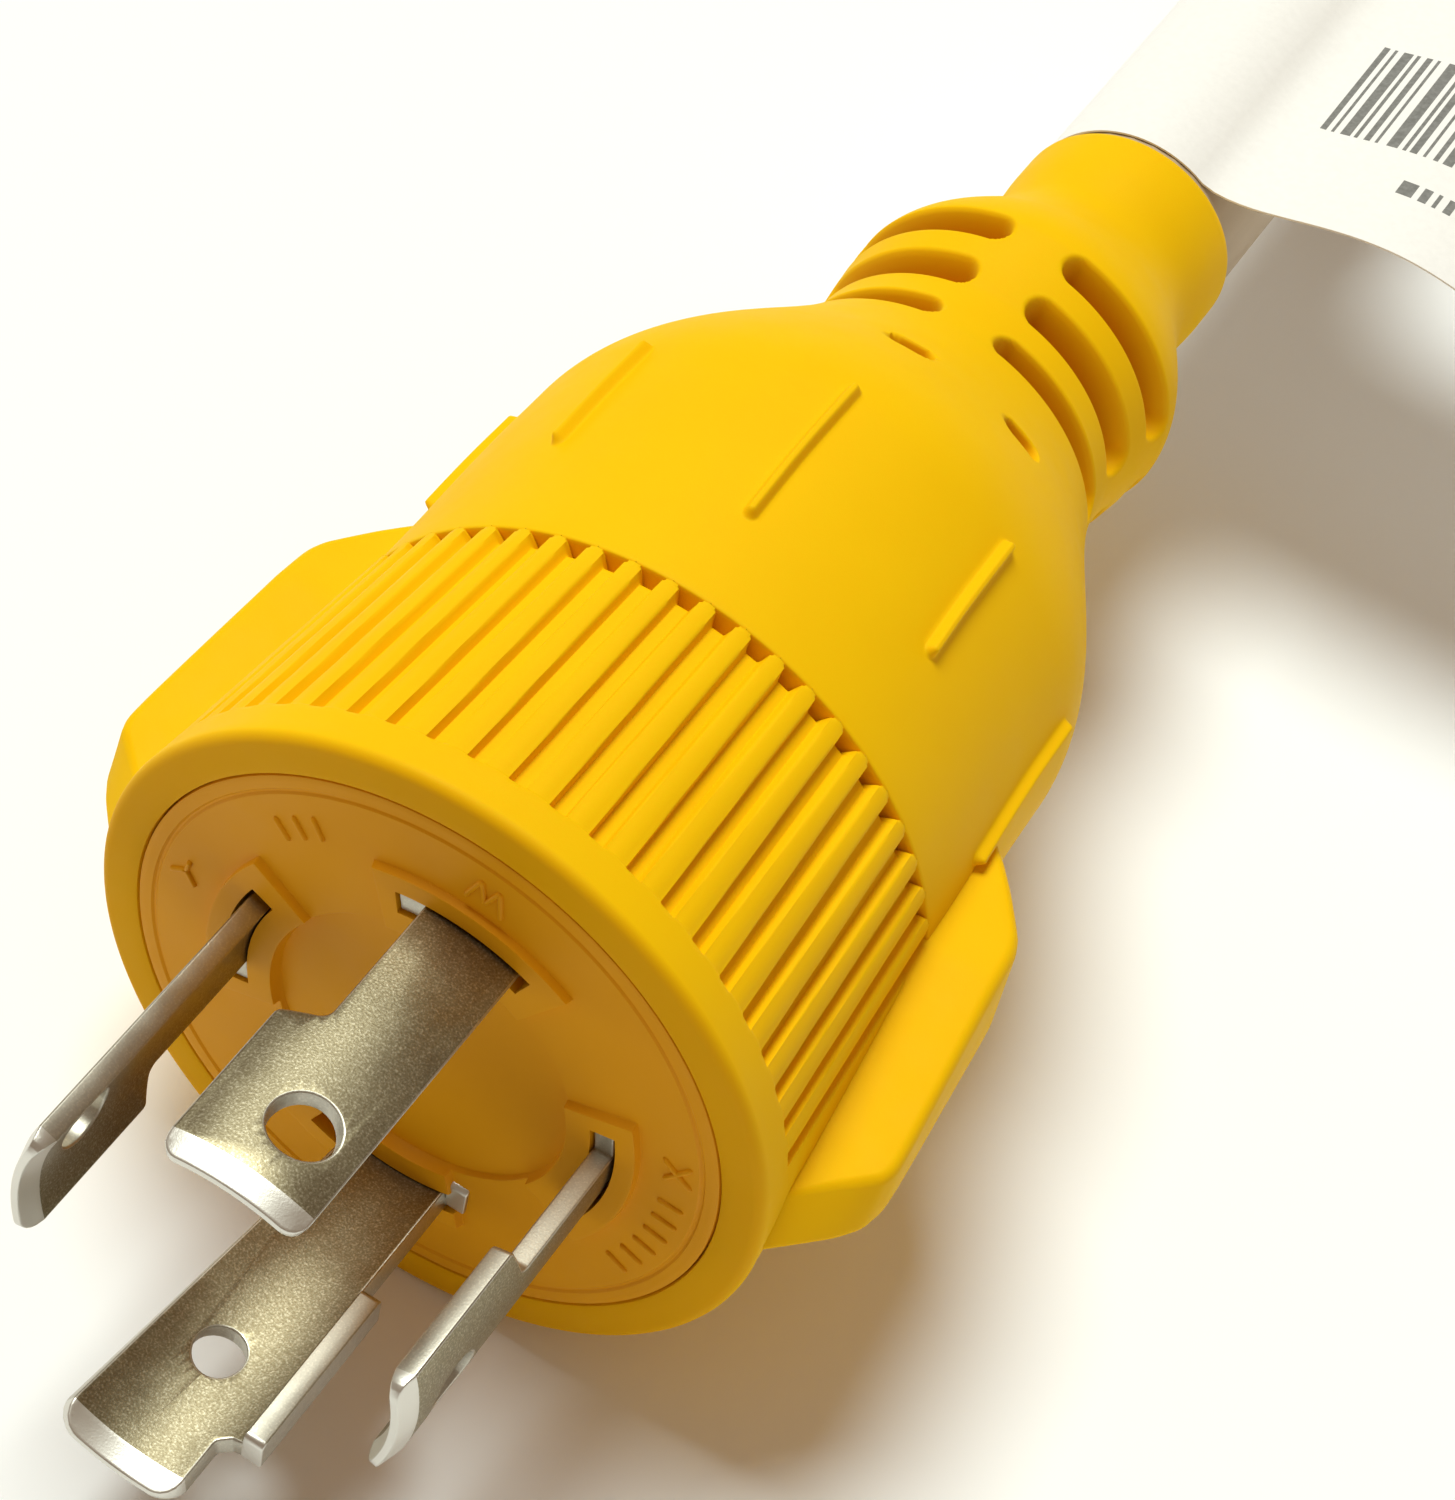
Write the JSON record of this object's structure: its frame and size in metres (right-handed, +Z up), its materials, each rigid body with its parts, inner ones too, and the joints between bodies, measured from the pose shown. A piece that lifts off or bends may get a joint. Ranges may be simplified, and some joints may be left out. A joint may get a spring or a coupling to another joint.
{
  "type": "shore power adapter cord",
  "caption": "Short heavy power cord with a winged, ribbed locking plug moulded on one end, a paper flag label and a flat-sided straight-blade connector on the other.",
  "frame": {"origin": "centre of the plug's mating face, on the plug's axis", "axes": "+Y along the plug's axis towards its cable, +X across the plug along its wings, +Z up; the cord lies on the plane z = -25 mm"},
  "size_m": [0.1371, 0.4785, 0.05],
  "materials": {
    "grip_yellow": "moulded PVC, soft sheen",
    "carrier_yellow": "moulded, fine grain",
    "blade_nickel": "nickel-plated brass, stamped",
    "core_black": "moulded",
    "jacket_grey": "extruded, matt",
    "label_paper": "matt",
    "face_black": "moulded, fine grain",
    "contact_brass": "stamped",
    "strand_copper": "bare stranded copper",
    "wire_black": "extruded",
    "wire_red": "extruded",
    "wire_white": "extruded",
    "wire_green": "extruded"
  },
  "bodies": {
    "root": {"grip_ring": "grip_yellow", "blade_carrier": "carrier_yellow", "rear_cover": "grip_yellow", "plug_strain_relief": "grip_yellow", "plug_core": "core_black", "plug_jacket_end": "jacket_grey", "cord": "jacket_grey", "flag_label": "label_paper", "connector_shell": "grip_yellow", "connector_face": "face_black", "connector_strain_relief": "grip_yellow", "connector_core": "core_black", "connector_jacket_end": "jacket_grey", "blade_x": "blade_nickel", "contact_x": "contact_brass", "plug_wire_x": "wire_black", "plug_strands_x": "strand_copper", "connector_wire_x": "wire_black", "connector_strands_x": "strand_copper", "blade_y": "blade_nickel", "contact_y": "contact_brass", "plug_wire_y": "wire_red", "plug_strands_y": "strand_copper", "connector_wire_y": "wire_red", "connector_strands_y": "strand_copper", "blade_w": "blade_nickel", "contact_w": "contact_brass", "plug_wire_w": "wire_white", "plug_strands_w": "strand_copper", "connector_wire_w": "wire_white", "connector_strands_w": "strand_copper", "blade_g": "blade_nickel", "contact_g": "contact_brass", "plug_wire_g": "wire_green", "plug_strands_g": "strand_copper", "connector_wire_g": "wire_green", "connector_strands_g": "strand_copper"}
  },
  "joints": []
}
